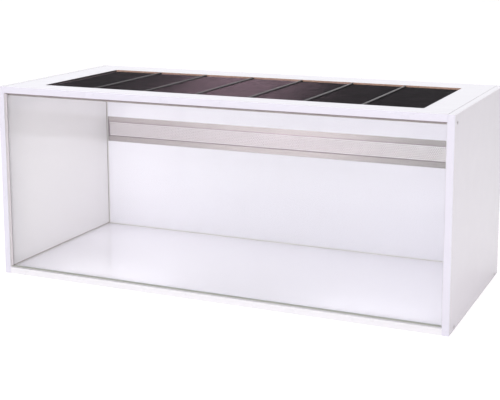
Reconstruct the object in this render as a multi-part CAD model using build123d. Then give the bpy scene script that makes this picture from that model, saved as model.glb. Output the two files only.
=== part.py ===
"""Rodent cage: a flat-pack cabinet of coated board with a fixed glass front, a perforated
vent strip in the rear wall and a wire lid that lifts out of the top.

Millimetres. X runs along the length, -Y is the glass front and +Z is up. The origin is on
the floor, under the middle of the cabinet.
"""
from build123d import *
from math import floor
import os

# Cabinet
cabinet_length = 1150.0
cabinet_depth = 500.0
cabinet_height = 480.0
board = 16.0
edge_band = 1.0
edge_radius = 0.8
seam_ease = 0.5

# Glass front, held on all four sides by a channel that is let into the boards
glass_setback = 8.0
glass_thickness = 4.0
channel_wall = 0.9
channel_web = 1.0
channel_sunk = 6.0
channel_proud = 3.0
glass_side_clearance = 0.1
glass_edge_clearance = 0.5
channel_clearance = 0.05

# Opening in the top, with the rebate that the lid rests in
opening_left_margin = 94.0
opening_right_margin = 84.0
opening_front_margin = 65.0
opening_rear_margin = 87.0
rebate_width = 10.0
rebate_depth = 8.5
rebate_corner = 5.0
cutout_corner = 4.0

# Laths under the long edges of the top
lath_width = 20.0
lath_height = 7.0
lath_gap = 1.0

# Vent strip in the rear wall
vent_bottom = 262.0
vent_height = 72.0
rail_height = 15.0
rail_lip = 1.8
rail_back_height = 12.0
rail_web = 2.0
rail_setback = 2.0
rail_end_gap = 0.5
vent_sheet = 1.5
vent_sheet_clearance = 0.1
vent_sheet_end_gap = 1.0
vent_sheet_top_gap = 0.5
vent_gap_width = 8.8
vent_gap_pitch = 13.5
vent_gap_rows = 3
vent_gap_row_pitch = 11.7

# Wire lid
lid_side_clearance = 2.0
lid_rest_gap = 0.3
lid_frame_rod = 4.0
lid_frame_corner = 10.0
long_wire = 3.0
long_wire_pitch = 12.0
cross_rod = 4.5
lid_fields = 7
weld_sink = 0.4
weld_bite = 0.7

# Screws through the side panels
screw_shank = 4.0
screw_head = 9.0
screw_length = 46.0
screw_clearance = 0.05
base_screw_front = 45.0
base_screw_rear = 460.0

# Dowels between the side panels and the boards
dowel = 8.0
dowel_in_side = 10.0
dowel_in_board = 20.0
dowel_end_gap = 1.0
dowel_clearance = 0.05
dowel_spread = 150.0
dowel_wall_low = 60.0
dowel_wall_high = 200.0

# Sides of each small round section: wires, rods, pegs, screws and the holes for them
round_sides = 12

# Places that follow from the sizes above
side_x = cabinet_length / 2
inner_x = side_x - board
front_y = -cabinet_depth / 2
rear_y = cabinet_depth / 2
rear_wall_y = rear_y - board
top_z = cabinet_height
under_top_z = cabinet_height - board
channel_width = glass_thickness + 2 * glass_side_clearance + 2 * channel_wall
channel_y = front_y + glass_setback + channel_width / 2
opening_x0 = -side_x + opening_left_margin
opening_x1 = side_x - opening_right_margin
opening_y0 = front_y + opening_front_margin
opening_y1 = rear_y - opening_rear_margin
opening_mid_x = (opening_x0 + opening_x1) / 2
opening_mid_y = (opening_y0 + opening_y1) / 2
opening_size_x = opening_x1 - opening_x0
opening_size_y = opening_y1 - opening_y0
ledge_z = top_z - rebate_depth
lath_front_y = channel_y + channel_width / 2 + lath_gap + lath_width / 2
lath_rear_y = rear_wall_y - lath_width / 2
lath_z = under_top_z - lath_height / 2
vent_top = vent_bottom + vent_height
rail_slot = vent_sheet + 2 * vent_sheet_clearance
rail_depth = 2 * rail_lip + rail_slot
rail_y = rear_wall_y + rail_setback


def block(x0, x1, y0, y1, z0, z1):
    """A straight block between two corners."""
    return Pos((x0 + x1) / 2, (y0 + y1) / 2, (z0 + z1) / 2) * Box(x1 - x0, y1 - y0, z1 - z0)


def rounded_slab(size_x, size_y, corner, x, y, z0, z1):
    """An upright prism with rounded corners."""
    outline = RectangleRounded(size_x, size_y, corner)
    return Pos(x, y, z0) * extrude(outline, z1 - z0)


def small_round(radius, x, y, z, axis):
    """The outline of a small round thing across the given axis, with a corner at its top."""
    return Plane(origin=(x, y, z), x_dir=(0, 0, 1), z_dir=axis) * RegularPolygon(radius, round_sides)


def along_x(x0, x1, radius, y, z):
    """A small round bar or bore along X."""
    return extrude(small_round(radius, x0, y, z, (1, 0, 0)), x1 - x0)


def along_y(y0, y1, radius, x, z):
    """A small round bar along Y."""
    return extrude(small_round(radius, x, y0, z, (0, 1, 0)), y1 - y0)


def countersunk(x_face, x_tip, head, shank, y, z):
    """A countersunk bar along X, from the face that its head is level with to its tip."""
    inward = 1 if x_tip > x_face else -1
    x_neck = x_face + inward * (head - shank)
    places = [(head, x_face), (shank, x_neck), (shank, x_tip)]
    return loft([small_round(radius, x, y, z, (inward, 0, 0)) for radius, x in places], ruled=True)


def screw_places():
    """Y and Z of the screws in one side panel."""
    return [
        (front_y + base_screw_front, board / 2),
        (front_y + base_screw_rear, board / 2),
        (lath_front_y, lath_z),
        (lath_rear_y, lath_z),
    ]


def dowel_places():
    """Y and Z of the dowels in one side panel."""
    top_and_base = [(y, z) for z in (board / 2, top_z - board / 2) for y in (-dowel_spread, dowel_spread)]
    wall_y = rear_y - board / 2
    lower_wall = [(wall_y, board + dowel_wall_low), (wall_y, board + dowel_wall_high)]
    upper_wall = [(wall_y, (vent_top + under_top_z) / 2)]
    return top_and_base + lower_wall + upper_wall


def screw_bores(side):
    """Countersunk holes through one side panel."""
    head = screw_head / 2 + screw_clearance
    shank = screw_shank / 2 + screw_clearance
    return [countersunk(side * side_x, side * inner_x, head, shank, y, z) for y, z in screw_places()]


def dowel_bores(x0, x1):
    """Blind dowel holes between two X places."""
    radius = dowel / 2 + dowel_clearance
    return [along_x(x0, x1, radius, y, z) for y, z in dowel_places()]


def side_panel(side):
    """One side panel; side is -1 for the left one and 1 for the right one."""
    outer = side * side_x
    inner = side * inner_x
    panel = block(min(outer, inner), max(outer, inner), front_y + edge_band, rear_y, 0, top_z)
    outer_edges = panel.faces().sort_by(Axis.X)[-1 if side > 0 else 0].edges()
    worn_edges = outer_edges.filter_by(Axis.Y) + outer_edges.filter_by(Axis.Z).sort_by(Axis.Y)[-1:]
    panel = fillet(worn_edges, edge_radius)
    seam_edge = panel.faces().sort_by(Axis.X)[0 if side > 0 else -1].edges().sort_by(Axis.Z)[-1]
    panel = chamfer(seam_edge, seam_ease)
    groove_end = side * (inner_x + channel_sunk)
    groove = block(
        min(inner, groove_end), max(inner, groove_end),
        channel_y - channel_width / 2 - channel_clearance, channel_y + channel_width / 2 + channel_clearance,
        board - channel_sunk, under_top_z + channel_sunk,
    )
    panel -= groove
    panel -= screw_bores(side)
    panel -= dowel_bores(min(inner, side * (inner_x + dowel_in_side)), max(inner, side * (inner_x + dowel_in_side)))
    return panel


def end_bores():
    """Everything that is drilled into the ends of the boards between the side panels."""
    bores = []
    for side in (-1, 1):
        inner = side * inner_x
        dowel_end = side * (inner_x - dowel_in_board)
        bores += dowel_bores(min(inner, dowel_end), max(inner, dowel_end))
        screw_end = side * (side_x - screw_length)
        shank = screw_shank / 2 + screw_clearance
        bores += [along_x(min(inner, screw_end), max(inner, screw_end), shank, y, z) for y, z in screw_places()]
    return bores


def top_board():
    """The top, with the cut-out and its rebate, and the groove for the glass channel."""
    plate = block(-inner_x, inner_x, front_y + edge_band, rear_y, under_top_z, top_z)
    plate = chamfer(plate.edges().filter_by(Axis.Y).sort_by(Axis.Z)[-2:], seam_ease)
    plate = fillet(plate.edges().filter_by(Axis.X).sort_by(Axis.Z)[-2:].sort_by(Axis.Y)[-1:], edge_radius)
    plate -= rounded_slab(
        opening_size_x, opening_size_y, rebate_corner, opening_mid_x, opening_mid_y, ledge_z, top_z + 1
    )
    plate -= rounded_slab(
        opening_size_x - 2 * rebate_width, opening_size_y - 2 * rebate_width, cutout_corner,
        opening_mid_x, opening_mid_y, under_top_z - 1, top_z,
    )
    plate -= channel_groove(under_top_z, under_top_z + channel_sunk)
    return plate - end_bores()


def base_board():
    """The floor, with the groove for the glass channel."""
    plate = block(-inner_x, inner_x, front_y + edge_band, rear_y, 0, board)
    plate -= channel_groove(board - channel_sunk, board)
    return plate - end_bores()


def channel_groove(z0, z1):
    """The groove along the front of the top or the floor."""
    half = channel_width / 2 + channel_clearance
    return block(-inner_x, inner_x, channel_y - half, channel_y + half, z0, z1)


def rear_board(z0, z1):
    """One board of the rear wall."""
    wall = block(-inner_x, inner_x, rear_wall_y, rear_y, z0, z1)
    return wall - end_bores()


def channel_profile():
    """The section of the glass channel, with its mouth at +Y and the sunk web at 0."""
    tall = channel_sunk + channel_proud
    outline = Pos(0, tall / 2) * Rectangle(channel_width, tall)
    slot_width = channel_width - 2 * channel_wall
    slot = Pos(0, (tall + channel_web) / 2) * Rectangle(slot_width, tall - channel_web)
    section = outline - slot
    rims = section.vertices().group_by(Axis.Y)[-1]
    return chamfer(rims, channel_wall * 0.3)


def glass_channel(place, run):
    """A length of glass channel; place puts its section, run is its length."""
    return extrude(place * channel_profile(), run)


def level_channel(z_web, mouth_up):
    """A channel along X, in the floor or in the top."""
    up = 1 if mouth_up else -1
    place = Plane(origin=(-inner_x, channel_y, z_web), x_dir=(0, up, 0), z_dir=(1, 0, 0))
    return glass_channel(place, 2 * inner_x)


def upright_channel(side):
    """A channel up one side panel, between the floor channel and the top channel."""
    z0 = board + channel_proud
    z1 = under_top_z - channel_proud
    x_web = side * (inner_x + channel_sunk)
    place = Plane(origin=(x_web, channel_y, z0), x_dir=(0, side, 0), z_dir=(0, 0, 1))
    return glass_channel(place, z1 - z0)


def front_glass():
    """The pane, standing on the web of the floor channel."""
    reach = inner_x + channel_sunk - channel_web - glass_edge_clearance
    z0 = board - channel_sunk + channel_web
    z1 = under_top_z + channel_sunk - channel_web - glass_edge_clearance
    half = glass_thickness / 2
    return block(-reach, reach, channel_y - half, channel_y + half, z0, z1)


def top_lath(y):
    """A lath under the top, between the side panels."""
    lath = block(
        -inner_x, inner_x, y - lath_width / 2, y + lath_width / 2, under_top_z - lath_height, under_top_z
    )
    return lath - end_bores()


def vent_rail(z_web, up):
    """An edge rail of the vent strip; up is 1 for the lower rail and -1 for the upper one."""
    lip = Pos(rail_lip / 2, rail_height / 2) * Rectangle(rail_lip, rail_height)
    web = Pos(rail_depth / 2, rail_web / 2) * Rectangle(rail_depth, rail_web)
    back = Pos(rail_depth - rail_lip / 2, rail_back_height / 2) * Rectangle(rail_lip, rail_back_height)
    section = lip + web + back
    rims = section.vertices().group_by(Axis.Y)[-1]
    section = chamfer(rims, rail_lip * 0.3)
    if up < 0:
        section = mirror(section, Plane.XZ)
    place = Plane(origin=(-inner_x + rail_end_gap, rail_y, z_web), x_dir=(0, 1, 0), z_dir=(1, 0, 0))
    return extrude(place * section, 2 * (inner_x - rail_end_gap))


def vent_plate():
    """The perforated sheet, standing in the two rails."""
    z0 = vent_bottom + rail_web
    z1 = vent_top - rail_web - vent_sheet_top_gap
    half = inner_x - vent_sheet_end_gap
    mid = (vent_bottom + vent_top) / 2
    face = Pos(0, (z0 + z1) / 2 - mid) * Rectangle(2 * half, z1 - z0)
    margin = rail_height
    holes = []
    for row in range(vent_gap_rows):
        z = (row - (vent_gap_rows - 1) / 2) * vent_gap_row_pitch
        shift = 0.5 * (row % 2)
        count = floor((2 * half - 2 * margin) / vent_gap_pitch - shift)
        for k in range(count + 1):
            x = (k - count / 2) * vent_gap_pitch
            holes.append(Pos(x, z) * RegularPolygon(vent_gap_width / 2, 6))
    face -= holes
    y = rail_y + rail_lip + vent_sheet_clearance
    place = Plane(origin=(0, y, mid), x_dir=(1, 0, 0), z_dir=(0, -1, 0))
    return extrude(place * face, -vent_sheet)


def screws(side):
    """The four countersunk screws of one side panel."""
    x_tip = side * (side_x - screw_length)
    head = screw_head / 2
    shank = screw_shank / 2
    return Compound(children=[countersunk(side * side_x, x_tip, head, shank, y, z) for y, z in screw_places()])


def dowels(side):
    """The dowels of one side panel, bottomed in the panel."""
    ends = sorted([side * (inner_x + dowel_in_side), side * (inner_x - dowel_in_board + dowel_end_gap)])
    return Compound(children=[along_x(*ends, dowel / 2, y, z) for y, z in dowel_places()])


def front_band(x0, x1, z0, z1):
    """A plastic band glued to a front edge."""
    band = block(x0, x1, front_y, front_y + edge_band, z0, z1)
    rim = band.faces().sort_by(Axis.Y)[0].edges()
    return fillet(rim, edge_radius)


lid_frame_x = opening_size_x / 2 - lid_side_clearance - lid_frame_rod / 2
lid_frame_y = opening_size_y / 2 - lid_side_clearance - lid_frame_rod / 2
lid_frame_z = ledge_z + lid_rest_gap + lid_frame_rod / 2
lid_wire_top = lid_frame_z + lid_frame_rod / 2
lid_place = Pos(opening_mid_x, opening_mid_y, 0)


def lid_frame():
    """The rim of the lid: one rod bent round four corners."""
    path = RectangleRounded(2 * lid_frame_x, 2 * lid_frame_y, lid_frame_corner).wire()
    path = Pos(0, 0, lid_frame_z) * path
    start = path @ 0
    section = small_round(lid_frame_rod / 2, start.X, start.Y, start.Z, path % 0)
    return lid_place * sweep(section, path=path)


def lid_long_wires():
    """The fine wires along the lid, level with the top of the rim."""
    count = floor(2 * lid_frame_y / long_wire_pitch) - 1
    pitch = 2 * lid_frame_y / (count + 1)
    reach = lid_frame_x - lid_frame_rod / 2 + weld_bite
    z = lid_wire_top - long_wire / 2
    wires = [along_x(-reach, reach, long_wire / 2, -lid_frame_y + (k + 1) * pitch, z) for k in range(count)]
    return Compound(children=[lid_place * wire for wire in wires])


def lid_cross_rods():
    """The stout rods across the lid, welded on top of the long wires and the rim."""
    z = lid_wire_top - weld_sink + cross_rod / 2
    reach = lid_frame_y + lid_frame_rod / 2
    field = 2 * lid_frame_x / lid_fields
    rods = [along_y(-reach, reach, cross_rod / 2, -lid_frame_x + k * field, z) for k in range(1, lid_fields)]
    return Compound(children=[lid_place * rod for rod in rods])


parts = {
    "left_side_panel": side_panel(-1),
    "right_side_panel": side_panel(1),
    "top_board": top_board(),
    "base_board": base_board(),
    "rear_board_lower": rear_board(board, vent_bottom),
    "rear_board_upper": rear_board(vent_top, under_top_z),
    "edge_band_left": front_band(-side_x, -inner_x, 0, top_z),
    "edge_band_right": front_band(inner_x, side_x, 0, top_z),
    "edge_band_top": front_band(-inner_x, inner_x, under_top_z, top_z),
    "edge_band_base": front_band(-inner_x, inner_x, 0, board),
    "glass_channel_floor": level_channel(board - channel_sunk, True),
    "glass_channel_top": level_channel(under_top_z + channel_sunk, False),
    "glass_channel_left": upright_channel(-1),
    "glass_channel_right": upright_channel(1),
    "front_glass": front_glass(),
    "top_lath_front": top_lath(lath_front_y),
    "top_lath_rear": top_lath(lath_rear_y),
    "vent_rail_lower": vent_rail(vent_bottom, 1),
    "vent_rail_upper": vent_rail(vent_top, -1),
    "vent_sheet": vent_plate(),
    "screws_left": screws(-1),
    "screws_right": screws(1),
    "dowels_left": dowels(-1),
    "dowels_right": dowels(1),
    "lid_frame": lid_frame(),
    "lid_long_wires": lid_long_wires(),
    "lid_cross_rods": lid_cross_rods(),
}

os.makedirs("parts", exist_ok=True)
for name, shape in parts.items():
    shape.label = name
    export_step(shape, "parts/" + name + ".step")
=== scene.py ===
"""Rodent cage: the looks of the cabinet, its glazing, its vent strip and its wire lid.

Metres. X runs along the length, -Y is the glass front and +Z is up, with the origin on the
floor under the middle of the cabinet.
"""
import math
import random

import bmesh
import bpy
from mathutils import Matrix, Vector


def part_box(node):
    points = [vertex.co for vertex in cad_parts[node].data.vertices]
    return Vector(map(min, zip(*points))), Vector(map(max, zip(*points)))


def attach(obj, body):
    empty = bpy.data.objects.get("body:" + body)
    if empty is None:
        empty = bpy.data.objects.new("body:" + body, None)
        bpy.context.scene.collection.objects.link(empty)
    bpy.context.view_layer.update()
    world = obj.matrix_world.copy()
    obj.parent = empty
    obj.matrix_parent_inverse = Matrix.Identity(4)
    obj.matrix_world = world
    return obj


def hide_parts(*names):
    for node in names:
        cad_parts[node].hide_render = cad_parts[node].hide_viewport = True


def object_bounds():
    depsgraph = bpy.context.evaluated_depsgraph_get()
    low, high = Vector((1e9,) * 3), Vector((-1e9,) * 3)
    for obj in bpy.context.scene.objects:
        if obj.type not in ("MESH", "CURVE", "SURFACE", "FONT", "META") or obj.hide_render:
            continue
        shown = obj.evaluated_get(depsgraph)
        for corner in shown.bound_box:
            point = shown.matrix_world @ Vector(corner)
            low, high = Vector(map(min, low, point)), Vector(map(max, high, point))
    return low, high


bl_info = {
    "name": "Rodent Cage",
    "version": (1, 0, 0),
    "blender": (4, 5, 0),
    "location": "3D View > Sidebar > Cage",
    "description": "Finishes a board cabinet cage with a glass front, a vent strip and a wire lid",
    "category": "Object",
}

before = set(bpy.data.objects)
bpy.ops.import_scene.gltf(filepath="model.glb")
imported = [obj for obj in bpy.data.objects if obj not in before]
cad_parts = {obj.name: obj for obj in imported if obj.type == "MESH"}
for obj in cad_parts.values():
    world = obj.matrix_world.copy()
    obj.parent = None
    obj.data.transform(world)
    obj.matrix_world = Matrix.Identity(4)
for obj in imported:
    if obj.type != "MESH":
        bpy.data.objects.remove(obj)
CAD_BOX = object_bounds()

MM = 0.001
X_AXIS = Vector((1, 0, 0))
Y_AXIS = Vector((0, 1, 0))
Z_AXIS = Vector((0, 0, 1))
SAME_POINT = 0.01 * MM
SHARP_ANGLE = math.radians(35)
EASED_EDGE = 0.6 * MM
LID_GAP = 2 * MM

BOARDS = (
    "left_side_panel", "right_side_panel", "top_board", "base_board", "rear_board_lower", "rear_board_upper",
)
BANDS = ("edge_band_left", "edge_band_right", "edge_band_top", "edge_band_base")
LATHS = ("top_lath_front", "top_lath_rear")
RAILS = ("vent_rail_lower", "vent_rail_upper")
VENT_PIECES = (*RAILS, "perforated_vent_sheet")
REAR_PIECES = ("rear_board_lower", "rear_board_upper", "base_board")
LID_PIECES = ("coated_rim", "coated_long_wires", "coated_cross_rods")

# Places round a weld, as shares of the swell's reach
WELD_STEPS = (-1.6, -0.9, -0.4, 0.0, 0.4, 0.9, 1.6)
# Places from the end of a rod, as shares of the drip's reach
DRIP_STEPS = (0.0, 0.03, 0.1, 0.22, 0.4, 0.6, 0.8, 1.0)

# Sockets of a Mix node when it blends colours
MIX_SHARE = 0
MIX_FIRST = 6
MIX_SECOND = 7
MIX_RESULT = 2

PLAIN_WHITE = (1.0, 1.0, 1.0)
SOFT_WHITE = (1.0, 0.99, 1.0)
COOL_WHITE = (0.99, 0.98, 1.0)


# Settings

def length(name, description, default):
    """A size in metres that a user can change."""
    return bpy.props.FloatProperty(
        name=name, description=description, default=default, min=0.0, subtype="DISTANCE", unit="LENGTH"
    )


def colour(name, description, default):
    """A surface colour that a user can change."""
    return bpy.props.FloatVectorProperty(
        name=name, description=description, default=default, size=3, min=0.0, max=1.0, subtype="COLOR"
    )


def amount(name, description, default, least=0.0):
    """A plain number that a user can change, such as the watts of a light."""
    return bpy.props.FloatProperty(name=name, description=description, default=default, min=least)


def count(name, description, default, least):
    """A whole number that a user can change."""
    return bpy.props.IntProperty(name=name, description=description, default=default, min=least)


class CageFinish(bpy.types.PropertyGroup):
    """Colours of the finishes, some of them with painted light and shade."""

    board_white: colour("Board", "Melamine face of the boards", (0.92, 0.90, 0.965))
    # Painted warm light on the left board
    left_painted_warm_light: colour("Left board", "Painted warm light on the melamine of the left board", (0.925, 0.90, 0.905))
    # Painted shade in the groove at the two joints of the top
    joint_painted_shade: colour("Joint", "Painted shade in the eased joints of the top", (0.10, 0.09, 0.09))
    band_white: colour("Edge band", "Plastic band on the front edges", (0.925, 0.90, 1.0))
    # Painted light that offsets the shade on the band of the floor board
    painted_light_lower_white: colour("Lower band", "Plastic band on the front of the floor board", (0.985, 0.97, 1.0))
    chip_light: colour("Light chips", "Pale chips in a raw board edge", (0.85, 0.58, 0.46))
    chip_dark: colour("Dark chips", "Dark chips in a raw board edge", (0.54, 0.33, 0.24))
    # Painted shade on the left cut edge of the opening, which the light does not reach
    painted_edge_shade: colour("Edge shade", "Painted shade on the left cut edge", (0.035, 0.028, 0.026))
    # The four glass channels are one plastic; their four tones are painted light and shade
    channel_top_painted_shade: colour("Top channel", "Glass channel under the top", (0.40, 0.33, 0.34))
    channel_left_painted_light: colour("Left channel", "Glass channel at the left", (0.86, 0.81, 0.84))
    channel_right_painted_light: colour("Right channel", "Glass channel at the right", (0.84, 0.82, 0.86))
    channel_floor_painted_glass_green: colour("Floor channel", "Glass channel along the floor", (0.50, 0.51, 0.46))
    glass_tint: colour("Glass", "What the pane lets through", (0.985, 0.995, 0.99))
    rail_metal: colour("Rail", "Aluminium rails of the vent strip", (0.292, 0.277, 0.275))
    sheet_metal: colour("Vent sheet", "Perforated aluminium sheet", (0.252, 0.212, 0.236))
    lath_wood: colour("Lath", "Greyed softwood laths", (0.52, 0.435, 0.425))
    dowel_wood: colour("Dowel", "Beech dowels", (0.66, 0.47, 0.30))
    screw_steel: colour("Screw", "Plated steel", (0.36, 0.34, 0.36))
    coat_black: colour("Lid coat", "Black plastic coat on the lid", (0.008, 0.007, 0.008))
    bead_pale: colour("Bead", "Sealant bead in the corners", (0.76, 0.74, 0.73))
    bead_dark: colour("Bead edge", "Dark joint beside the bead", (0.24, 0.18, 0.15))
    stage_white: colour("Stage", "Studio floor", (0.93, 0.925, 0.93))


class CageVent(bpy.types.PropertyGroup):
    """Perforation of the vent sheet."""

    hole: length("Hole", "Width of a round hole", 3.5 * MM)
    pitch: length("Pitch", "Distance between holes along a row", 5 * MM)
    row_pitch: length("Row pitch", "Distance between rows", 4.33 * MM)
    rows: count("Rows", "Rows of holes", 9, 1)


class CageLid(bpy.types.PropertyGroup):
    """Coated wires of the lid."""

    sides: count("Sides", "Sides of each wire", 16, 6)
    corner: length("Corner", "Bend of the rim at its corners", 10 * MM)
    swell: length("Swell", "How far the coat swells round a weld", 0.5 * MM)
    swell_reach: length("Swell reach", "How far along a wire the swell reaches", 2.4 * MM)
    waver: length("Waver", "How far a long wire strays from straight", 0.2 * MM)
    bow: length("Bow", "How far the cross rods bow sideways", 1.2 * MM)
    drip: length("Drip", "How far the coat swells at the end of a rod", 1.2 * MM)
    drip_reach: length("Drip reach", "How far the swelling reaches along a rod", 7 * MM)


class CageFixings(bpy.types.PropertyGroup):
    """Screws and dowels."""

    socket: length("Socket", "Width of the hexagon socket across its flats", 3 * MM)
    socket_depth: length("Socket depth", "Depth of the hexagon socket", 2.2 * MM)
    thread_pitch: length("Thread pitch", "Rise of the thread in one turn", 2.6 * MM)
    thread_depth: length("Thread depth", "Height of the thread", 0.55 * MM)
    flutes: count("Flutes", "Grooves along a dowel", 18, 3)
    flute_depth: length("Flute depth", "Depth of a groove in a dowel", 0.25 * MM)


class CageBead(bpy.types.PropertyGroup):
    """Sealant in the corners of the cabin."""

    width: length("Width", "How far the bead reaches from its corner", 3 * MM)
    joint: length("Joint", "Width of the dark joint at the side of the bead", 0.6 * MM)
    steps: count("Steps", "Facets across the hollow of the bead", 6, 2)


class CageStage(bpy.types.PropertyGroup):
    """Camera and lights."""

    camera_place: bpy.props.FloatVectorProperty(
        name="Camera", description="Place of the camera",
        default=(1.108, -2.473, 0.843), subtype="TRANSLATION", unit="LENGTH",
    )
    camera_turn: bpy.props.FloatVectorProperty(
        name="Turn", description="Pitch, roll and yaw of the camera",
        default=(math.radians(80.34), math.radians(0.16), math.radians(24.13)), subtype="EULER",
    )
    lens: amount("Lens", "Focal length in millimetres", 79.4, 1.0)
    lens_shift: amount("Shift", "Rise of the lens as a share of the picture's width", -0.15, -1.0)
    air_left: colour("Left air", "Even light from the left", (0.90, 0.90, 0.935))
    air_right: colour("Right air", "Even light from the right", (1.0, 0.95, 0.945))
    air_level: amount("Level", "Strength of the even light near the horizon", 1.06)
    air_overhead: amount("Overhead", "Strength of the even light from overhead", 0.5)
    front_light: amount("Front", "Watts of the front light", 27.5)
    top_light: amount("Top", "Watts of the top light", 30.0)
    ceiling_lamp: amount("Lamp", "Watts of the small lamp", 9.0)
    cabin_fill: amount("Fill", "Watts of the fills behind the glass", 0.56)
    rear_fill: amount("Rear fill", "Watts of the fill for the left of the rear wall", 0.115)
    left_fill: amount("Left fill", "Watts of the fill for the left wall", 0.12)
    floor_fill: amount("Floor fill", "Watts of the fills for the floor", 0.18)
    upper_fill: amount("Upper fill", "Watts of the fill above the vent strip", 0.1)
    band_fill: amount("Band fill", "Watts of the fill for the lower band", 0.6)
    side_fill: amount("Side fill", "Watts of the fill for the right side", 0.3)
    vent_card: amount("Vent card", "Watts of the cards that the vent strip mirrors", 2.1)
    vent_tint: colour("Vent card tint", "Colour of the cards that the vent strip mirrors", (1.0, 0.87, 0.92))
    lid_card: amount("Lid card", "Watts of the card that the lid mirrors", 105.0)
    card_tint: colour("Lid card tint", "Colour of the card that the lid mirrors", (1.0, 0.64, 0.80))
    floor_glow: amount("Glow", "Lift of the floor to the eye", 0.5)


GROUPS = {
    "cage_finish": CageFinish,
    "cage_vent": CageVent,
    "cage_lid": CageLid,
    "cage_fixings": CageFixings,
    "cage_bead": CageBead,
    "cage_stage": CageStage,
}


# Meshes

def piece(name, vertices, faces, surface, body, slot, smooth=True):
    """A new piece from plain lists, riding on a body."""
    mesh = bpy.data.meshes.new(name)
    mesh.from_pydata(vertices, [], faces)
    mesh.validate()
    work = bmesh.new()
    work.from_mesh(mesh)
    bmesh.ops.recalc_face_normals(work, faces=work.faces)
    work.to_mesh(mesh)
    work.free()
    mesh.materials.append(surface)
    thing = bpy.data.objects.new(name, mesh)
    bpy.context.scene.collection.objects.link(thing)
    if smooth:
        mesh.shade_smooth()
        mesh.set_sharp_from_angle(angle=SHARP_ANGLE)
    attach(thing, body)
    return thing


def islands(node):
    """Lowest and highest corners of each separate solid in a CAD node, in order along X, then Y, then Z."""
    work = bmesh.new()
    work.from_mesh(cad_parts[node].data)
    bmesh.ops.remove_doubles(work, verts=work.verts, dist=SAME_POINT)
    left = set(work.verts)
    found = []
    while left:
        edge = [left.pop()]
        low = Vector(edge[0].co)
        high = Vector(edge[0].co)
        while edge:
            here = edge.pop()
            low = Vector(map(min, low, here.co))
            high = Vector(map(max, high, here.co))
            for link in here.link_edges:
                other = link.other_vert(here)
                if other in left:
                    left.remove(other)
                    edge.append(other)
        found.append((low, high))
    work.free()
    return sorted(found, key=lambda corners: tuple(round(value, 5) for value in corners[0]))


def rings(rows, closed):
    """Vertices and faces of a skin through rings of points, capped at both ends unless it is closed."""
    sides = len(rows[0])
    vertices = [point for row in rows for point in row]
    faces = []
    last = len(rows) if closed else len(rows) - 1
    for i in range(last):
        start = i * sides
        after = (i + 1) % len(rows) * sides
        for k in range(sides):
            step = (k + 1) % sides
            faces.append((start + k, start + step, after + step, after + k))
    if not closed:
        faces.append(tuple(range(sides)))
        faces.append(tuple(reversed(range(len(vertices) - sides, len(vertices)))))
    return vertices, faces


def joined(parts):
    """One list of vertices and one of faces from several pairs of lists."""
    vertices = []
    faces = []
    for more_vertices, more_faces in parts:
        base = len(vertices)
        vertices += more_vertices
        faces += [tuple(base + index for index in face) for face in more_faces]
    return vertices, faces


def ring(centre, out, up, radius, sides):
    """A ring of points round a centre; radius is a number or a function of the angle."""
    points = []
    for k in range(sides):
        angle = 2 * math.pi * k / sides
        reach = radius(angle) if callable(radius) else radius
        points.append(tuple(centre + (out * math.cos(angle) + up * math.sin(angle)) * reach))
    return points


def swell_at(place, welds, height, reach):
    """How much the coat stands proud at a place, from the welds along it."""
    nearest = min(abs(place - weld) for weld in welds)
    return height * math.exp(-((nearest / reach) ** 2))


def stations(start, end, welds, reach):
    """Places along a wire: its ends, its welds and a few steps round each weld."""
    places = {start, end}
    for weld in welds:
        for step in WELD_STEPS:
            place = weld + step * reach
            if start < place < end:
                places.add(place)
    return sorted(places)


# Materials

def add(tree, kind, settings=None, **values):
    """A shader node; each value is a number, a colour or an output to link, by its socket's name."""
    made = tree.nodes.new("ShaderNode" + kind)
    for name, value in (settings or {}).items():
        setattr(made, name, value)
    for name, value in values.items():
        plug(tree, made.inputs[name.replace("_", " ")], value)
    return made


def plug(tree, socket, value):
    """Links an output to a socket, or sets the socket's own value."""
    if isinstance(value, bpy.types.NodeSocket):
        tree.links.new(value, socket)
    elif socket.type == "RGBA":
        socket.default_value = (*value[:3], 1.0)
    else:
        socket.default_value = value


def material(name, **values):
    """A material with one Principled shader, and its node tree."""
    made = bpy.data.materials.new(name)
    made.use_nodes = True
    tree = made.node_tree
    tree.nodes.clear()
    shader = add(tree, "BsdfPrincipled", **values)
    output = add(tree, "OutputMaterial")
    tree.links.new(shader.outputs["BSDF"], output.inputs["Surface"])
    return made, tree, shader


def place_of(tree):
    """The place of a point on the object, in metres in the frame."""
    return add(tree, "TexCoord").outputs["Object"]


def split(tree, vector):
    """X, Y and Z of a vector."""
    return add(tree, "SeparateXYZ", Vector=vector).outputs


def sums(tree, kind, first, second=0.0):
    """One sum on two values."""
    made = add(tree, "Math", {"operation": kind})
    plug(tree, made.inputs[0], first)
    plug(tree, made.inputs[1], second)
    return made.outputs[0]


def noise(tree, scale, detail=3.0, roughness=0.5, stretch=(1, 1, 1)):
    """A noise between 0 and 1, with its scale in waves a metre, stretched along the axes."""
    spread = add(tree, "Mapping", Vector=place_of(tree))
    spread.inputs["Scale"].default_value = stretch
    made = add(
        tree, "TexNoise", Vector=spread.outputs["Vector"], Scale=scale, Detail=detail, Roughness=roughness
    )
    return made.outputs["Fac"]


def between(tree, value, low, high, at_low=0.0, at_high=1.0):
    """A value taken from one range to another, and kept inside it."""
    made = add(tree, "MapRange", Value=value)
    made.inputs["From Min"].default_value = low
    made.inputs["From Max"].default_value = high
    made.inputs["To Min"].default_value = at_low
    made.inputs["To Max"].default_value = at_high
    return made.outputs["Result"]


def blend(tree, share, first, second):
    """A colour between two."""
    made = add(tree, "Mix", {"data_type": "RGBA"})
    plug(tree, made.inputs[MIX_SHARE], share)
    plug(tree, made.inputs[MIX_FIRST], first)
    plug(tree, made.inputs[MIX_SECOND], second)
    return made.outputs[MIX_RESULT]


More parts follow.
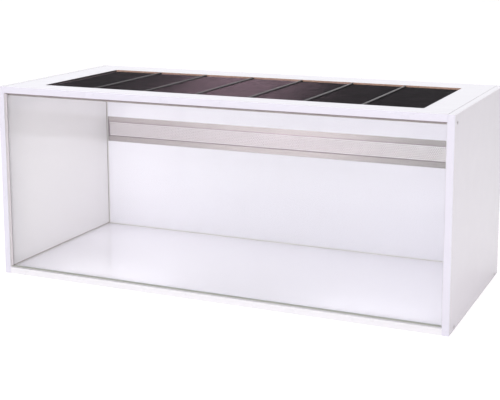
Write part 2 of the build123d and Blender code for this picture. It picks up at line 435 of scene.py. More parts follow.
def shade(base, factor):
    """A colour made lighter or darker."""
    return tuple(min(1.0, channel * factor) for channel in base)


def paint(tree, shader, tone, roughness=None):
    """Gives a shader its colour, and a roughness that changes over the surface if there is one."""
    plug(tree, shader.inputs["Base Color"], tone)
    if roughness is not None:
        plug(tree, shader.inputs["Roughness"], roughness)


def bump(tree, shader, height, distance, strength):
    """Fine relief on a shader, with its distance in metres."""
    made = add(tree, "Bump", Height=height, Distance=distance, Strength=strength)
    tree.links.new(made.outputs["Normal"], shader.inputs["Normal"])


def melamine(name, base, finish):
    """White melamine: a glossy film with faint cloudiness, a fine peel and a few dull smears.

    The eased edges at the two joints of the top are darkened to near black as painted shade in the groove.
    """
    made, tree, shader = material(name, Coat_Weight=0.7, Coat_Roughness=0.03)
    cloud = noise(tree, scale=5.0)
    film = blend(tree, between(tree, cloud, 0.3, 0.7), shade(base, 0.993), base)
    x, _, z = split(tree, place_of(tree))
    from_joint = sums(tree, "SUBTRACT", sums(tree, "ABSOLUTE", x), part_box("top_board")[1].x)
    at_joint = sums(tree, "LESS_THAN", sums(tree, "ABSOLUTE", from_joint), EASED_EDGE)
    near_top = sums(tree, "GREATER_THAN", z, CAD_BOX[1].z - EASED_EDGE)
    eased = sums(tree, "MULTIPLY", at_joint, near_top)
    smear = noise(tree, scale=9.0, detail=4.0, roughness=0.6, stretch=(1.0, 2.4, 2.4))
    # Painted shade: a near-black line along the two joints of the top stands in for the shadow in the groove
    tone = blend(tree, eased, film, finish.joint_painted_shade)
    paint(tree, shader, tone, between(tree, smear, 0.35, 0.75, 0.12, 0.18))
    bump(tree, shader, noise(tree, scale=700.0, detail=2.0), distance=0.01 * MM, strength=0.25)
    return made


def chipboard_mix(tree, finish):
    """Colour of a raw chipboard edge: flakes of several browns with dark gaps."""
    flakes = add(tree, "TexVoronoi", Vector=place_of(tree), Scale=420.0, Randomness=1.0)
    tone = split(tree, flakes.outputs["Color"])[0]
    grain = noise(tree, scale=1500.0, roughness=0.6)
    wood = blend(tree, tone, finish.chip_dark, finish.chip_light)
    return blend(tree, between(tree, grain, 0.3, 0.8, 0.0, 0.5), wood, shade(finish.chip_dark, 0.6))


def cut_melamine(name, base, finish, hole):
    """Melamine whose cut-out shows raw chipboard, with painted shade on its left cut edge, which faces away
    from the light.

    hole is the lowest and the highest corner of the cut-out.
    """
    made = melamine(name, base, finish)
    tree = made.node_tree
    shader = next(node for node in tree.nodes if node.type == "BSDF_PRINCIPLED")
    x, y, z = split(tree, place_of(tree))
    low, high = hole
    slack = 0.3 * MM
    shade_depth = 1 * MM
    inside = sums(tree, "LESS_THAN", z, high.z - slack)
    for place, least, most in ((x, low.x, high.x), (y, low.y, high.y)):
        inside = sums(tree, "MULTIPLY", inside, sums(tree, "GREATER_THAN", place, least - slack))
        inside = sums(tree, "MULTIPLY", inside, sums(tree, "LESS_THAN", place, most + slack))
    white = shader.inputs["Base Color"].links[0].from_socket
    # Painted shade: the left cut edge is darkened to near black, as if in shadow
    painted_shade_side = sums(tree, "LESS_THAN", x, low.x + shade_depth)
    raw = blend(tree, painted_shade_side, chipboard_mix(tree, finish), finish.painted_edge_shade)
    duller = sums(tree, "MULTIPLY", inside, 0.6)
    rough = sums(tree, "ADD", shader.inputs["Roughness"].links[0].from_socket, duller)
    paint(tree, shader, blend(tree, inside, white, raw), rough)
    return made


def plastic(name, base, roughness, change=0.06, lines=(1, 40, 40)):
    """Extruded plastic: faint draw lines along its length, and a tone that changes by a small share."""
    made, tree, shader = material(name)
    draw = noise(tree, scale=60.0, roughness=0.6, stretch=lines)
    tone = blend(tree, draw, shade(base, 1 - change), shade(base, 1 + change))
    paint(tree, shader, tone, between(tree, draw, 0.3, 0.7, roughness * 0.85, roughness * 1.15))
    bump(tree, shader, draw, distance=0.02 * MM, strength=0.4)
    return made


def clear_glass(name, tint):
    """Float glass with a faint tint, which lets the lamps shine through it."""
    made, tree, shader = material(
        name, Transmission_Weight=1.0, IOR=1.5, Roughness=0.0, Specular_IOR_Level=0.5
    )
    film = noise(tree, scale=5.0)
    paint(tree, shader, blend(tree, film, tint, shade(tint, 0.995)))
    clear = add(tree, "BsdfTransparent", Color=tint)
    ray = add(tree, "LightPath")
    mixed = add(tree, "MixShader")
    tree.links.new(ray.outputs["Is Shadow Ray"], mixed.inputs[0])
    tree.links.new(shader.outputs["BSDF"], mixed.inputs[1])
    tree.links.new(clear.outputs["BSDF"], mixed.inputs[2])
    output = next(node for node in tree.nodes if node.type == "OUTPUT_MATERIAL")
    tree.links.new(mixed.outputs["Shader"], output.inputs["Surface"])
    return made


def drawn_metal(name, base, roughness, lines):
    """Aluminium with fine lines along its length."""
    made, tree, shader = material(name, Metallic=1.0)
    draw = noise(tree, scale=120.0, detail=4.0, roughness=0.65, stretch=lines)
    stain = between(tree, noise(tree, scale=7.0), 0.3, 0.8, 0.0, 0.35)
    drawn = blend(tree, draw, shade(base, 0.86), shade(base, 1.08))
    tone = blend(tree, stain, drawn, shade(base, 0.9))
    paint(tree, shader, tone, between(tree, draw, 0.25, 0.75, roughness * 0.8, roughness * 1.25))
    bump(tree, shader, draw, distance=0.02 * MM, strength=0.3)
    return made


def timber(name, base):
    """Planed wood with its grain along X."""
    made, tree, shader = material(name, Roughness=0.65)
    years = noise(tree, scale=90.0, detail=4.0, roughness=0.6, stretch=(0.05, 1.0, 1.0))
    pores = noise(tree, scale=700.0, detail=2.0, roughness=0.6, stretch=(0.04, 1.0, 1.0))
    grain = blend(tree, between(tree, years, 0.3, 0.7), shade(base, 0.72), shade(base, 1.12))
    open_pores = between(tree, pores, 0.55, 0.8, 0.0, 0.5)
    paint(tree, shader, blend(tree, open_pores, grain, shade(base, 0.55)))
    bump(tree, shader, pores, distance=0.05 * MM, strength=0.5)
    return made


def plated_steel(name, base):
    """Plated steel, dulled in patches."""
    made, tree, shader = material(name, Metallic=1.0)
    rub = noise(tree, scale=700.0, detail=4.0, roughness=0.6)
    tone = blend(tree, between(tree, rub, 0.4, 0.8), base, shade(base, 0.6))
    paint(tree, shader, tone, between(tree, rub, 0.3, 0.7, 0.28, 0.45))
    bump(tree, shader, rub, distance=0.02 * MM, strength=0.4)
    return made


def plastic_coat(name, base, dullest, gloss, dull_from=None):
    """Black plastic coat on wire: satin, with a fine pebble and slightly greyer rubbed places.

    dull_from is a place along Y where a duller dipped end begins, if there is one.
    """
    made, tree, shader = material(name, Specular_IOR_Level=gloss)
    rub = noise(tree, scale=40.0, detail=4.0, roughness=0.6, stretch=(0.3, 1.0, 1.0))
    tone = blend(tree, between(tree, rub, 0.45, 0.8), base, shade(base, 1.9))
    rough = between(tree, rub, 0.3, 0.7, dullest - 0.1, dullest)
    if dull_from is not None:
        y = split(tree, place_of(tree))[1]
        dipped = between(tree, y, dull_from, dull_from + 1 * MM, 0.0, 0.6)
        rough = sums(tree, "ADD", rough, dipped)
    paint(tree, shader, tone, rough)
    bump(tree, shader, noise(tree, scale=1400.0, detail=2.0), distance=0.01 * MM, strength=0.3)
    return made


def sealant(name, pale, dark, inner_x, joint):
    """A pale bead with a ragged dark joint where it meets the side wall."""
    made, tree, shader = material(name, Roughness=0.35)
    x, _, _ = split(tree, place_of(tree))
    from_wall = sums(tree, "SUBTRACT", inner_x, sums(tree, "ABSOLUTE", x))
    ragged = sums(tree, "MULTIPLY", noise(tree, scale=220.0), 0.5 * joint)
    near_wall = between(tree, sums(tree, "ADD", from_wall, ragged), 0.8 * joint, 1.4 * joint, 1.0, 0.0)
    paint(tree, shader, blend(tree, near_wall, pale, dark))
    bump(tree, shader, noise(tree, scale=500.0, detail=2.0), distance=0.05 * MM, strength=0.4)
    return made


def to_the_eye(tree):
    """1 for light on its way straight to the camera or through the pane, 0 for the rest."""
    ray = add(tree, "LightPath").outputs
    return sums(tree, "MAXIMUM", ray["Is Camera Ray"], ray["Is Transmission Ray"])


def stage_surface(name, base, glow):
    """The studio floor: matt white paper with a very faint tooth, lifted to white for the eye alone."""
    made, tree, shader = material(name, Roughness=0.9, Specular_IOR_Level=0.2)
    tooth = noise(tree, scale=30.0, detail=4.0)
    paper = blend(tree, tooth, shade(base, 0.995), base)
    paint(tree, shader, paper)
    plug(tree, shader.inputs["Emission Color"], paper)
    plug(tree, shader.inputs["Emission Strength"], sums(tree, "MULTIPLY", to_the_eye(tree), glow))
    return made


def dress(names, surface):
    """Gives CAD nodes a material."""
    for name in names:
        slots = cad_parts[name].material_slots
        if not slots:
            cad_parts[name].data.materials.append(surface)
        for slot in slots:
            slot.material = surface


# Pieces

class CAGE_OT_boards(bpy.types.Operator):
    """Finish the boards and their front edge bands"""

    bl_idname = "cage.boards"
    bl_label = "Boards"

    def execute(self, context):
        finish = context.scene.cage_finish
        # Painted shade: a darker copy of the board white for the lower rear board, as for a wall in shade
        painted_shade_white = shade(finish.board_white, 0.965)
        dress(BOARDS, melamine("white_melamine", finish.board_white, finish))
        dress(("rear_board_lower",), melamine("painted_shade_melamine", painted_shade_white, finish))
        # Painted light: a warmer copy of the board white for the left board, standing in for warm light
        # falling on the left wall
        dress(("left_side_panel",), melamine("painted_warm_light_melamine", finish.left_painted_warm_light, finish))
        dress(("top_board",), cut_melamine("cut_melamine", finish.board_white, finish, cut_out()))
        cloudy = (0.3, 0.3, 0.3)
        dress(BANDS, plastic("white_band", finish.band_white, 0.3, 0.012, cloudy))
        # Painted light: a lighter copy of the band white for the floor board's band, to offset the shade near
        # the floor
        dress(("edge_band_base",), plastic("painted_light_lower_band", finish.painted_light_lower_white, 0.3, 0.012, cloudy))
        return {"FINISHED"}


def cut_out():
    """Lowest and highest corner of the rebated opening in the top."""
    low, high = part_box("lid_frame")
    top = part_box("top_board")[1].z
    return Vector((low.x - LID_GAP, low.y - LID_GAP, 0)), Vector((high.x + LID_GAP, high.y + LID_GAP, top))


class CAGE_OT_glazing(bpy.types.Operator):
    """Finish the pane and the channels that hold it"""

    bl_idname = "cage.glazing"
    bl_label = "Glazing"

    def execute(self, context):
        finish = context.scene.cage_finish
        upright = (40, 40, 1)
        # Painted light and shade: one plastic channel in four tones. The top one is darker as painted shade
        # under the top board, the left and right ones are pale as painted light, and the floor one is olive
        # as the painted green of light through the glass edge
        dress(("glass_channel_top",), plastic("top_channel_painted_shade", finish.channel_top_painted_shade, 0.45))
        dress(("glass_channel_left",), plastic("left_channel_painted_light", finish.channel_left_painted_light, 0.45, lines=upright))
        dress(("glass_channel_right",), plastic("right_channel_painted_light", finish.channel_right_painted_light, 0.45, lines=upright))
        dress(("glass_channel_floor",), plastic("floor_channel_painted_glass_green", finish.channel_floor_painted_glass_green, 0.4))
        dress(("front_glass",), clear_glass("float_glass", finish.glass_tint))
        return {"FINISHED"}


class CAGE_OT_laths(bpy.types.Operator):
    """Finish the laths under the top"""

    bl_idname = "cage.laths"
    bl_label = "Laths"

    def execute(self, context):
        dress(LATHS, timber("lath_wood", context.scene.cage_finish.lath_wood))
        return {"FINISHED"}


class CAGE_OT_beads(bpy.types.Operator):
    """Lay the sealant beads in the corners of the cabin"""

    bl_idname = "cage.beads"
    bl_label = "Corner beads"

    def execute(self, context):
        finish = context.scene.cage_finish
        settings = context.scene.cage_bead
        inner_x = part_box("top_board")[1].x
        floor_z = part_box("base_board")[1].z
        front_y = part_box("glass_channel_floor")[1].y
        wall_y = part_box("rear_board_lower")[0].y
        top_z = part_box("top_lath_rear")[0].z
        surface = sealant("corner_sealant", finish.bead_pale, finish.bead_dark, inner_x, settings.joint)
        for side, name in ((-1, "left"), (1, "right")):
            inward = -side * X_AXIS
            foot = Vector((side * inner_x, wall_y, floor_z))
            head = Vector((side * inner_x, wall_y, top_z))
            front = Vector((side * inner_x, front_y, floor_z))
            upright = bead(foot, head, inward, -Y_AXIS, settings)
            piece("corner_bead_upright_" + name, *upright, surface, "cabinet", "edge_band")
            level = bead(front, foot, inward, Z_AXIS, settings)
            piece("corner_bead_floor_" + name, *level, surface, "cabinet", "edge_band")
        left_end = Vector((-inner_x, wall_y, floor_z))
        right_end = Vector((inner_x, wall_y, floor_z))
        rear = bead(left_end, right_end, -Y_AXIS, Z_AXIS, settings)
        piece("corner_bead_floor_rear", *rear, surface, "cabinet", "edge_band")
        return {"FINISHED"}


def bead(start, end, first, second, settings):
    """A bead with a hollow face along an inner corner; first and second point along the two walls."""
    width = settings.width
    outline = [Vector((0, 0, 0)), first * width]
    for k in range(1, settings.steps):
        angle = math.pi / 2 * k / settings.steps
        outline.append(first * width * (1 - math.sin(angle)) + second * width * (1 - math.cos(angle)))
    outline.append(second * width)
    return rings([[tuple(place + point) for point in outline] for place in (start, end)], False)


class CAGE_OT_vent(bpy.types.Operator):
    """Perforate the vent sheet and finish its rails"""

    bl_idname = "cage.vent"
    bl_label = "Vent strip"

    def execute(self, context):
        finish = context.scene.cage_finish
        dress(RAILS, drawn_metal("rail_metal", finish.rail_metal, 0.36, (0.02, 1.0, 1.0)))
        metal = drawn_metal("sheet_metal", finish.sheet_metal, 0.36, (0.1, 1.0, 1.0))
        mesh = perforated(*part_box("vent_sheet"), context.scene.cage_vent)
        sheet = piece("perforated_vent_sheet", *mesh, metal, "cabinet", "vent_sheet", smooth=False)
        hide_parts("vent_sheet")
        return {"FINISHED"}


def perforated(low, high, vent):
    """A sheet with staggered rows of round holes; each hole sits in its own rectangle of the sheet."""
    half_pitch = vent.pitch / 2
    half_row = vent.row_pitch / 2
    radius = vent.hole / 2
    columns = int((high.x - low.x - vent.pitch) / vent.pitch)
    x_start = (low.x + high.x) / 2 - columns * half_pitch
    x_end = x_start + 2 * columns * half_pitch
    z_start = (low.z + high.z) / 2 - vent.rows * half_row
    z_end = z_start + 2 * vent.rows * half_row
    xs = [x_start + k * half_pitch for k in range(2 * columns + 1)]
    zs = [z_start + k * half_row / 2 for k in range(4 * vent.rows + 1)]
    around = [
        (1, 0), (1, 0.5), (1, 1), (0, 1), (-1, 1), (-1, 0.5),
        (-1, 0), (-1, -0.5), (-1, -1), (0, -1), (1, -1), (1, -0.5),
    ]
    corners = len(around)
    flat = {}
    points = []
    panels = []
    walls = []

    def point(x, z):
        """The number of a point on the sheet, made once for each hundredth of a millimetre."""
        key = (round(x / SAME_POINT), round(z / SAME_POINT))
        if key not in flat:
            flat[key] = len(points)
            points.append((x, z))
        return flat[key]

    # The rows of holes, with a plain panel at both ends of a staggered row
    for row in range(vent.rows):
        z_mid = z_start + (2 * row + 1) * half_row
        staggered = row % 2
        for column in range(columns - staggered):
            x_mid = x_start + (2 * column + 1 + staggered) * half_pitch
            outer = [point(x_mid + u * half_pitch, z_mid + v * half_row) for u, v in around]
            inner = []
            for k in range(corners):
                angle = 2 * math.pi * k / corners
                inner.append(len(points))
                points.append((x_mid + radius * math.cos(angle), z_mid + radius * math.sin(angle)))
            for k in range(corners):
                after = (k + 1) % corners
                panels.append((outer[k], outer[after], inner[after], inner[k]))
                walls.append((inner[after], inner[k]))
        if staggered:
            for start in (x_start, x_start + (2 * columns - 1) * half_pitch):
                plain = [point(start, z_mid + v * half_row) for v in (-1, -0.5, 0, 0.5, 1)]
                plain += [point(start + half_pitch, z_mid + v * half_row) for v in (1, 0.5, 0, -0.5, -1)]
                panels.append(tuple(plain))

    # The plain margins below and above the field of holes, then to its left and right
    for z_edge, z_field in ((low.z, z_start), (high.z, z_end)):
        for left, right in zip(xs, xs[1:]):
            margin = ((left, z_edge), (right, z_edge), (right, z_field), (left, z_field))
            panels.append(tuple(point(x, z) for x, z in margin))
    for x_edge, x_field in ((low.x, x_start), (high.x, x_end)):
        edge = [point(x_edge, z) for z in (low.z, *zs, high.z)]
        field = [point(x_field, z) for z in (low.z, *zs, high.z)]
        for k in range(len(edge) - 1):
            panels.append((edge[k], edge[k + 1], field[k + 1], field[k]))

    # The outer border, then both faces of the sheet and the walls between them
    border = [point(x, low.z) for x in (low.x, *xs, high.x)]
    border += [point(high.x, z) for z in (*zs, high.z)]
    border += [point(x, high.z) for x in (*reversed(xs), low.x)]
    border += [point(low.x, z) for z in reversed(zs)]
    walls += zip(border, border[1:] + border[:1])
    base = len(points)
    vertices = [(x, low.y, z) for x, z in points] + [(x, high.y, z) for x, z in points]
    faces = panels + [tuple(base + index for index in reversed(panel)) for panel in panels]
    faces += [(first, second, base + second, base + first) for first, second in walls]
    return vertices, faces


class CAGE_OT_fixings(bpy.types.Operator):
    """Make the screws and dowels of both side panels"""

    bl_idname = "cage.fixings"
    bl_label = "Screws and dowels"

    def execute(self, context):
        finish = context.scene.cage_finish
        settings = context.scene.cage_fixings
        steel = plated_steel("plated_steel", finish.screw_steel)
        beech = timber("beech", finish.dowel_wood)
        for side, name in ((-1, "left"), (1, "right")):
            screws = joined(screw(side, low, high, settings) for low, high in islands("screws_" + name))
            made = piece("countersunk_screws_" + name, *screws, steel, "cabinet", "screw")
            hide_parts("screws_" + name)
            dowels = joined(dowel(low, high, settings) for low, high in islands("dowels_" + name))
            made = piece("fluted_dowels_" + name, *dowels, beech, "cabinet", "dowel")
            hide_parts("dowels_" + name)
        return {"FINISHED"}


def screw(side, low, high, settings):
    """A countersunk screw with a hexagon socket and a coarse thread.

    side is 1 for a screw in the right panel and -1 for one in the left panel.
    """
    sides = 24
    shank_to_head = 4 / 9
    head = (high.z - low.z) / 2
    shank = head * shank_to_head
    y = (low.y + high.y) / 2
    z = (low.z + high.z) / 2
    face_x = high.x if side > 0 else low.x
    run = high.x - low.x
    half_socket = settings.socket / 2
    sixth = math.pi / 3
    sunk = 0.05 * MM
    ease = 0.2 * MM
    drill_depth = 0.4 * MM
    drill_radius = 0.3 * MM
    plain = 4 * MM
    taper = 3 * MM
    tip_radius = 0.2 * MM

    def hexagon(angle):
        return half_socket / math.cos((angle + sixth / 2) % sixth - sixth / 2)

    def thread(depth):
        def radius(angle):
            turn = (angle / (2 * math.pi) + depth / settings.thread_pitch) % 1
            return shank - settings.thread_depth * abs(2 * turn - 1)
        return radius

    def row(depth, radius):
        return ring(Vector((face_x - side * depth, y, z)), Y_AXIS, Z_AXIS, radius, sides)

    rows = [
        row(settings.socket_depth + drill_depth, drill_radius),
        row(settings.socket_depth, hexagon),
        row(sunk + ease, hexagon),
        row(sunk, lambda angle: hexagon(angle) + ease),
        row(sunk, head - sunk - ease),
        row(ease, head - sunk),
        row(head - shank, shank),
    ]
    depth = head - shank + plain
    while depth < run - taper:
        rows.append(row(depth, thread(depth)))
        depth += settings.thread_pitch / 6
    rows.append(row(run - taper, shank - settings.thread_depth))
    rows.append(row(run, tip_radius))
    return rings(rows, False)


def dowel(low, high, settings):
    """A fluted beech dowel with eased ends."""
    points_to_a_flute = 4
    sides = settings.flutes * points_to_a_flute
    radius = (high.z - low.z) / 2
    y = (low.y + high.y) / 2
    z = (low.z + high.z) / 2
    ease = 0.8 * MM

    def fluted(angle):
        return radius - settings.flute_depth * (0.5 - 0.5 * math.cos(angle * settings.flutes))

    shapes = (
        (low.x, radius - ease), (low.x + ease, fluted), (high.x - ease, fluted), (high.x, radius - ease),
    )
    return rings([ring(Vector((x, y, z)), Y_AXIS, Z_AXIS, shape, sides) for x, shape in shapes], False)


class CAGE_OT_lid(bpy.types.Operator):
    """Make the coated wire lid"""

    bl_idname = "cage.lid"
    bl_label = "Wire lid"

    def execute(self, context):
        settings = context.scene.cage_lid
        black = context.scene.cage_finish.coat_black
        wire_coat = plastic_coat("black_wire_coat", black, 0.26, 0.15)
        dipped_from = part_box("lid_cross_rods")[1].y - settings.drip_reach
        rod_coat = plastic_coat("black_rod_coat", black, 0.26, 0.85, dipped_from)
        wires = islands("lid_long_wires")
        rods = islands("lid_cross_rods")
        rod_xs = [(low.x + high.x) / 2 for low, high in rods]
        wire_ys = [(low.y + high.y) / 2 for low, high in wires]
        made = piece("coated_rim", *rim(wire_ys, rod_xs, settings), wire_coat, "lid", "lid_wire")
        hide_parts("lid_frame")
        draw = random.Random(4)
        long_wires = joined(long_wire(low, high, rod_xs, settings, draw) for low, high in wires)
        made = piece("coated_long_wires", *long_wires, wire_coat, "lid", "lid_wire")
        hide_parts("lid_long_wires")
        cross_rods = joined(cross_rod(low, high, wire_ys, settings, draw) for low, high in rods)
        made = piece("coated_cross_rods", *cross_rods, rod_coat, "lid", "lid_wire")
        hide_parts("lid_cross_rods")
        return {"FINISHED"}


def rim(wire_ys, rod_xs, settings):
    """The rim of the lid: one closed rod, with the coat swollen where wires meet it.

    Each turn makes a corner and the straight run after it, from the right rear corner to the left.
    """
    low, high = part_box("lid_frame")
    radius = (high.z - low.z) / 2
    z = (low.z + high.z) / 2
    middle = (low + high) / 2
    half_x = (high.x - low.x) / 2 - radius
    half_y = (high.y - low.y) / 2 - radius
    corner = settings.corner
    rows = []
    quarter_steps = 8
    for turn in range(4):
        start = math.pi / 2 * turn
        sign_x = 1 if turn in (0, 3) else -1
        sign_y = 1 if turn in (0, 1) else -1
        centre = Vector((middle.x + sign_x * (half_x - corner), middle.y + sign_y * (half_y - corner), z))
        for k in range(quarter_steps + 1):
            angle = start + math.pi / 2 * k / quarter_steps
            out = Vector((math.cos(angle), math.sin(angle), 0))
            rows.append(ring(centre + out * corner, out, Z_AXIS, radius, settings.sides))
        along_y = turn in (1, 3)
        out = Vector((math.cos(start + math.pi / 2), math.sin(start + math.pi / 2), 0))
        reach = half_y - corner if along_y else half_x - corner
        centre_along = middle.y if along_y else middle.x
        welds = wire_ys if along_y else rod_xs
        places = stations(centre_along - reach, centre_along + reach, welds, settings.swell_reach)[1:-1]
        if turn in (0, 1):
            places = places[::-1]
        for place in places:
            grow = swell_at(place, welds, settings.swell, settings.swell_reach)
            spot = Vector((0, 0, z + grow))
            if along_y:
                spot.x, spot.y = middle.x + out.x * half_x, place
            else:
                spot.x, spot.y = place, middle.y + out.y * half_y
            rows.append(ring(spot, out, Z_AXIS, radius + grow, settings.sides))
    return rings(rows, True)


def long_wire(low, high, rod_xs, settings, draw):
    """One fine wire, a little wavy, swollen at its welds."""
    even_steps = 112
    sag = 0.3
    radius = (high.z - low.z) / 2
    y = (low.y + high.y) / 2
    z = (low.z + high.z) / 2
    run = high.x - low.x
    welds = [low.x, *rod_xs, high.x]
    phase = draw.uniform(0, 2 * math.pi)
    waves = draw.uniform(1.5, 3.5)
    size = draw.uniform(0.3, 1.0) * settings.waver
    places = set(stations(low.x, high.x, welds, settings.swell_reach))
    places |= {low.x + run * k / even_steps for k in range(even_steps + 1)}
    rows = []
    for x in sorted(places):
        share = (x - low.x) / run
        stray = size * math.sin(math.pi * share) * math.sin(2 * math.pi * waves * share + phase)
        grow = swell_at(x, welds, settings.swell, settings.swell_reach)
        centre = Vector((x, y + stray, z - grow * sag))
        rows.append(ring(centre, Y_AXIS, Z_AXIS, radius + grow, settings.sides))
    return rings(rows, False)


def cross_rod(low, high, wire_ys, settings, draw):
    """One stout rod, a little bowed, swollen at its welds and rounded at its ends."""
    rounded_share = 0.4
    bluntness = 0.1
    swell = settings.swell * 0.6
    radius = (high.z - low.z) / 2
    x = (low.x + high.x) / 2
    z = (low.z + high.z) / 2
    run = high.y - low.y
    bow = draw.uniform(0.3, 1.0) * settings.bow * draw.choice((-1, 1))
    reach = settings.drip_reach
    steps = [reach * share for share in DRIP_STEPS]
    places = {low.y + step for step in steps} | {high.y - step for step in steps}
    for place in stations(low.y, high.y, wire_ys, settings.swell_reach):
        if low.y + reach < place < high.y - reach:
            places.add(place)
    rows = []
    for y in sorted(places):
        grow = swell_at(y, wire_ys, swell, settings.swell_reach)
        from_end = min(1.0, min(y - low.y, high.y - y) / reach)
        grow = max(grow, settings.drip * (0.5 + 0.5 * math.cos(math.pi * from_end)))
        short_of_round = max(0.0, 1 - from_end / rounded_share)
        round_off = math.sqrt(max(bluntness, 1 - short_of_round ** 2))
        bend = bow * math.sin(math.pi * (y - low.y) / run)
        centre = Vector((x + bend, y, z - grow))
        rows.append(ring(centre, X_AXIS, Z_AXIS, (radius + grow) * round_off, settings.sides))
    return rings(rows, False)


# Stage

class CAGE_OT_stage(bpy.types.Operator):
    """Lay the studio floor and set the lights and the camera"""

    bl_idname = "cage.stage"
    bl_label = "Stage"

    def execute(self, context):
        scene = context.scene
        settings = scene.cage_stage
        scene.view_settings.view_transform = "Standard"
        even_light(scene, settings)
        studio_floor(scene, settings)
        studio_lights(settings)
        cabin_fills(settings)
        outer_fills(settings)
        cards(settings)
        studio_camera(scene, settings)
        return {"FINISHED"}


def even_light(scene, settings):
    """Light from all round, warmer from the right and weaker overhead, seen by the camera as plain white."""
    world = bpy.data.worlds.new("studio_air")
    world.use_nodes = True
    tree = world.node_tree
    tree.nodes.clear()
    side, _, height = split(tree, add(tree, "TexCoord").outputs["Generated"])
    strength = between(tree, height, 0.1, 0.9, settings.air_level, settings.air_overhead)
    tint = blend(tree, between(tree, side, -0.3, 0.8), settings.air_left, settings.air_right)
    air = add(tree, "Background", Color=tint, Strength=strength)
    white = add(tree, "Background", Color=PLAIN_WHITE, Strength=1.0)
    mixed = add(tree, "MixShader")
    plug(tree, mixed.inputs[0], to_the_eye(tree))
    tree.links.new(air.outputs["Background"], mixed.inputs[1])
    tree.links.new(white.outputs["Background"], mixed.inputs[2])
    output = add(tree, "OutputWorld")
    tree.links.new(mixed.outputs["Shader"], output.inputs["Surface"])
    scene.world = world


def studio_floor(scene, settings):
    """A wide flat floor of white paper."""
    reach = 12.0
    corners = [(-reach, -reach, 0), (reach, -reach, 0), (reach, reach, 0), (-reach, reach, 0)]
    mesh = bpy.data.meshes.new("studio_floor")
    mesh.from_pydata(corners, [], [(0, 1, 2, 3)])
    paper = stage_surface("studio_paper", scene.cage_finish.stage_white, settings.floor_glow)
    mesh.materials.append(paper)
    floor = bpy.data.objects.new("studio_floor", mesh)
    scene.collection.objects.link(floor)


def studio_lights(settings):
    """Soft lights in front and overhead, and a small lamp high above."""
    area_light("front_light", (0.5, -4.2, 1.8), (0, 0, 0.2), (2.6, 2.0), settings.front_light, SOFT_WHITE)
    fill("top_light", (-0.5, -0.2, 3.4), (0, 0, 0.4), (3.0, 2.4), settings.top_light, tint=COOL_WHITE)
    lamp = (0.005, 0.322, 4.366)
    area_light("ceiling_lamp", lamp, (0, 0, 0), (0.1, 0.1), settings.ceiling_lamp, PLAIN_WHITE)


def cabin_fills(settings):
    """Small lights in the cabin that lift its walls and its floor."""
    floor_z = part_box("base_board")[1].z
    wall_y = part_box("rear_board_lower")[0].y
    left_wall = ("left_side_panel",)
    for x, share in ((-0.3, 0.49), (0.38, 0.44)):
        power = settings.cabin_fill * share
        fill("cabin_fill", (x, -0.228, 0.22), (x, wall_y, 0.22), (0.32, 0.36), power)
    fill("rear_fill", (-0.49, 0.02, 0.25), (-0.49, wall_y, 0.25), (0.1, 0.3), settings.rear_fill, REAR_PIECES)
    fill("left_fill", (-0.2, 0.14, 0.3), (-0.56, 0.2, 0.3), (0.3, 0.3), settings.left_fill, left_wall)
    for y, height, aim_y, share in ((0.12, 0.3, 0.2, 1.0), (-0.2, 0.14, -0.21, 0.35)):
        power = settings.floor_fill * share
        fill("floor_fill", (0, y, height), (0, aim_y, floor_z), (1.0, 0.05), power, ("base_board",))
    above_vent = (0, wall_y, 0.44)
    fill("upper_fill", (0, 0.1, 0.43), above_vent, (1.0, 0.03), settings.upper_fill, ("rear_board_upper",))


def outer_fills(settings):
    """Low lights outside that lift the lower band and the right side."""
    low, high = CAD_BOX
    band_middle = (0, low.y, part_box("base_board")[1].z / 2)
    foot_of_side = (high.x, 0, 0.04)
    fill(
        "band_fill", (0, -1.0, 0.1), band_middle, (1.2, 0.1), settings.band_fill,
        ("edge_band_base",), (0.95, 0.95, 1.0),
    )
    fill(
        "side_fill", (1.3, -0.1, 0.1), foot_of_side, (0.9, 0.12), settings.side_fill,
        ("right_side_panel",), (1.0, 0.97, 0.99),
    )


def cards(settings):
    """Tinted cards that light only the vent strip or only the lid, and that show in its metal or coat."""
    for x, width, share in ((-1.08, 0.5, 1.0), (-0.45, 0.6, 1.65)):
        area_light(
            "vent_card", (x, -1.0, 0.22), (x, 0, 0.3), (width, 0.5), settings.vent_card * share,
            settings.vent_tint, VENT_PIECES,
        )
    area_light(
        "lid_card", (-1.31, 1.0, 3.0), (-1.31, 0, 0.47), (0.62, 2.6), settings.lid_card,
        settings.card_tint, LID_PIECES,
    )


def studio_camera(scene, settings):
    """The camera, where the photograph was taken from."""
    camera = bpy.data.objects.new("camera", bpy.data.cameras.new("camera"))
    scene.collection.objects.link(camera)
    camera.location = settings.camera_place
    camera.rotation_euler = settings.camera_turn
    camera.data.lens = settings.lens
    camera.data.shift_y = settings.lens_shift
    scene.camera = camera


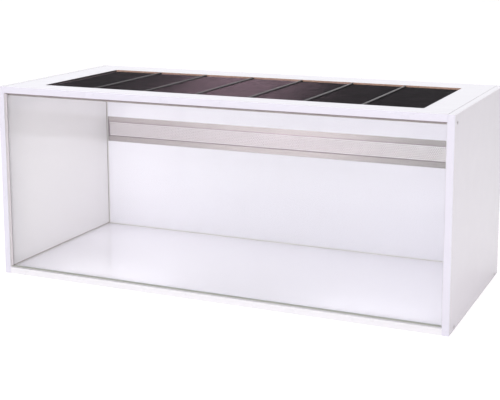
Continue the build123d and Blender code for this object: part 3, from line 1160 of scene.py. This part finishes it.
def fill(name, place, aim, size, power, pieces=(), tint=SOFT_WHITE):
    """A soft light that nothing mirrors."""
    light = area_light(name, place, aim, size, power, tint, pieces)
    light.visible_glossy = False


def area_light(name, place, aim, size, power, tint, pieces=()):
    """A soft rectangular light that points at a place, and lights only the named pieces if there are any."""
    data = bpy.data.lights.new(name, "AREA")
    data.shape = "RECTANGLE"
    data.size, data.size_y = size
    data.energy = power
    data.color = tint
    light = bpy.data.objects.new(name, data)
    bpy.context.scene.collection.objects.link(light)
    light.location = place
    light.rotation_mode = "QUATERNION"
    light.rotation_quaternion = (Vector(aim) - Vector(place)).to_track_quat("-Z", "Y")
    light.visible_camera = False
    if pieces:
        lit = bpy.data.collections.new(name + "_pieces")
        for piece_name in pieces:
            lit.objects.link(bpy.data.objects[piece_name])
        light.light_linking.receiver_collection = lit
        light.light_linking.blocker_collection = lit
    return light


# Panel and registration

OPERATORS = (
    CAGE_OT_boards, CAGE_OT_glazing, CAGE_OT_laths, CAGE_OT_beads, CAGE_OT_vent, CAGE_OT_fixings,
    CAGE_OT_lid, CAGE_OT_stage,
)


class CAGE_PT_panel(bpy.types.Panel):
    """Lists the steps that make the cage"""

    bl_idname = "CAGE_PT_panel"
    bl_label = "Rodent cage"
    bl_space_type = "VIEW_3D"
    bl_region_type = "UI"
    bl_category = "Cage"

    def draw(self, context):
        for operator in OPERATORS:
            self.layout.operator(operator.bl_idname)


def register():
    """Registers the settings, the steps and the panel."""
    for name, group in GROUPS.items():
        bpy.utils.register_class(group)
        setattr(bpy.types.Scene, name, bpy.props.PointerProperty(type=group))
    for item in (*OPERATORS, CAGE_PT_panel):
        bpy.utils.register_class(item)


def unregister():
    """Takes everything out again."""
    for item in (CAGE_PT_panel, *reversed(OPERATORS)):
        bpy.utils.unregister_class(item)
    for name, group in reversed(GROUPS.items()):
        delattr(bpy.types.Scene, name)
        bpy.utils.unregister_class(group)


def main():
    """Makes the whole scene."""
    register()
    for operator in OPERATORS:
        group, name = operator.bl_idname.split(".")
        getattr(getattr(bpy.ops, group), name)()


if __name__ == "__main__":
    main()
